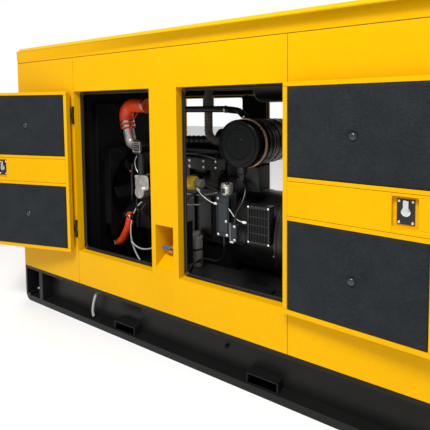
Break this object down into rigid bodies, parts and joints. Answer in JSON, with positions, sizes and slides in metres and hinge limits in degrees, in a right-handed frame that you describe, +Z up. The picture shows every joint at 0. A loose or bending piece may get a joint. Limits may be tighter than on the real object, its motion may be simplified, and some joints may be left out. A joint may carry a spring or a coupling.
{
  "type": "skid-mounted diesel generator",
  "caption": "Diesel generator set in a sound-damped canopy on a forkable skid base, with hinged service doors open over the engine and alternator.",
  "frame": {"origin": "centre of the base footprint, on the ground plane under the base rails", "axes": "+X along the length from the radiator end to the control end, +Y across from the drain-valve side to the far side, +Z up"},
  "size_m": [3.4835, 1.6152, 2.116],
  "materials": {
    "black_base": "satin",
    "yellow_paint": "satin",
    "foam": "matte",
    "seal_rubber": "matte",
    "black_metal": "satin",
    "latch_chrome": "polished",
    "engine_iron": "satin",
    "black_plastic": "matte",
    "cast_aluminium": "satin",
    "silicone_hose": "satin",
    "grey_hose": "satin",
    "exhaust_lagging": "matte",
    "galvanised": "satin",
    "filter_grey": "satin",
    "slate_box": "satin",
    "valve_brass": "satin",
    "blue_grip": "gloss",
    "stop_red": "gloss"
  },
  "bodies": {
    "canopy_frame": {"air_cleaner": "black_metal", "alternator_body": "engine_iron", "alternator_grilles": "black_metal", "base_cross_members": "black_base", "base_side_beams": "black_base", "batteries": "black_plastic", "canopy_headers": "yellow_paint", "canopy_sills": "yellow_paint", "center_posts": "yellow_paint", "charge_air_hoses": "silicone_hose", "charging_alternator": "cast_aluminium", "control_cabinet": "black_metal", "cylinder_head": "engine_iron", "door_seals": "seal_rubber", "drain_valve": "valve_brass", "end_wall_control": "yellow_paint", "end_wall_radiator": "yellow_paint", "engine_block": "engine_iron", "engine_control_box": "slate_box", "engine_filters": "filter_grey", "engine_mounts": "black_metal", "exhaust_system": "exhaust_lagging", "fan_belt": "seal_rubber", "flywheel_housing": "engine_iron", "fork_pockets": "black_base", "fuel_tank": "black_base", "hinge_brackets": "black_metal", "intake_hose": "seal_rubber", "intake_manifold": "cast_aluminium", "oil_sump": "engine_iron", "overflow_hose": "grey_hose", "radiator": "black_metal", "roof_panel": "yellow_paint", "side_panels": "yellow_paint", "sound_lining": "foam", "starter_motor": "engine_iron", "turbocharger": "engine_iron", "vent_hose": "grey_hose"},
    "service_door_front_left": {"door_front_left": "yellow_paint", "door_front_left_foam_pads": "foam", "door_front_left_hinges_and_lock_plate": "black_metal"},
    "latch_front_left": {"door_front_left_latch": "latch_chrome"},
    "service_door_front_right": {"door_front_right": "yellow_paint", "door_front_right_foam_pads": "foam", "door_front_right_hinges_and_lock_plate": "black_metal"},
    "latch_front_right": {"door_front_right_latch": "latch_chrome"},
    "service_door_rear_left": {"door_rear_left": "yellow_paint", "door_rear_left_foam_pads": "foam", "door_rear_left_hinges_and_lock_plate": "black_metal"},
    "latch_rear_left": {"door_rear_left_latch": "latch_chrome"},
    "service_door_rear_right": {"door_rear_right": "yellow_paint", "door_rear_right_foam_pads": "foam", "door_rear_right_hinges_and_lock_plate": "black_metal"},
    "latch_rear_right": {"door_rear_right_latch": "latch_chrome"},
    "crank_pulley_body": {"crank_pulley": "engine_iron"},
    "fan_body": {"cooling_fan": "black_plastic"},
    "rain_cap_flap": {"rain_cap": "galvanised"},
    "drain_lever": {"drain_valve_lever": "blue_grip"},
    "control_panel_door": {"control_door": "yellow_paint"},
    "stop_button_body": {"stop_button": "stop_red"}
  },
  "joints": [
    {"name": "door_front_left_hinge", "type": "hinge", "parent": "canopy_frame", "child": "service_door_front_left", "pos_m": [-1.014, -0.583, 1.116], "axis": [0, 0, 1], "range_deg": [-9, 166]},
    {"name": "latch_front_left_turn", "type": "hinge", "parent": "service_door_front_left", "child": "latch_front_left", "pos_m": [-1.6202, -0.74342, 1.134], "axis": [0.2419, -0.9703, 0], "range_deg": [0, 90]},
    {"name": "door_front_right_hinge", "type": "hinge", "parent": "canopy_frame", "child": "service_door_front_right", "pos_m": [0.692, -0.583, 1.116], "axis": [0, 0, 1], "range_deg": [-177.5, 0]},
    {"name": "latch_front_right_turn", "type": "hinge", "parent": "service_door_front_right", "child": "latch_front_right", "pos_m": [1.28804, -0.61803, 1.134], "axis": [-0.0436, -0.999, 0], "range_deg": [0, 90]},
    {"name": "door_rear_left_hinge", "type": "hinge", "parent": "canopy_frame", "child": "service_door_rear_left", "pos_m": [-1.014, 0.583, 1.116], "axis": [0, 0, 1], "range_deg": [-166, 9]},
    {"name": "latch_rear_left_turn", "type": "hinge", "parent": "service_door_rear_left", "child": "latch_rear_left", "pos_m": [-1.6202, 0.74342, 1.134], "axis": [0.2419, 0.9703, 0], "range_deg": [0, 90]},
    {"name": "door_rear_right_hinge", "type": "hinge", "parent": "canopy_frame", "child": "service_door_rear_right", "pos_m": [0.692, 0.583, 1.116], "axis": [0, 0, 1], "range_deg": [0, 177.5]},
    {"name": "latch_rear_right_turn", "type": "hinge", "parent": "service_door_rear_right", "child": "latch_rear_right", "pos_m": [1.28804, 0.61803, 1.134], "axis": [-0.0436, 0.999, 0], "range_deg": [0, 90]},
    {"name": "crank_spin", "type": "hinge", "parent": "canopy_frame", "child": "crank_pulley_body", "pos_m": [-0.85, 0, 0.74], "axis": [1, 0, 0], "continuous": true},
    {"name": "fan_spin", "type": "hinge", "parent": "canopy_frame", "child": "fan_body", "pos_m": [-0.885, 0, 0.93], "axis": [1, 0, 0], "continuous": true},
    {"name": "rain_cap_hinge", "type": "hinge", "parent": "canopy_frame", "child": "rain_cap_flap", "pos_m": [1.224, 0.1, 2.109], "axis": [0, 1, 0], "range_deg": [0, 70]},
    {"name": "drain_valve_turn", "type": "hinge", "parent": "canopy_frame", "child": "drain_lever", "pos_m": [-0.165, -0.51669, 0.68448], "axis": [0, -0.5523, 0.8336], "range_deg": [0, 90]},
    {"name": "control_door_hinge", "type": "hinge", "parent": "canopy_frame", "child": "control_panel_door", "pos_m": [1.726, -0.298, 1.48], "axis": [0, 0, -1], "range_deg": [0, 115]},
    {"name": "stop_button_press", "type": "slide", "parent": "canopy_frame", "child": "stop_button_body", "axis": [-1, 0, 0], "range_m": [0, 0.006], "stiffness_N_per_m": 2500}
  ],
  "couplings": [
    {"joint": "fan_spin", "follows": "crank_spin", "ratio": 1.12}
  ]
}
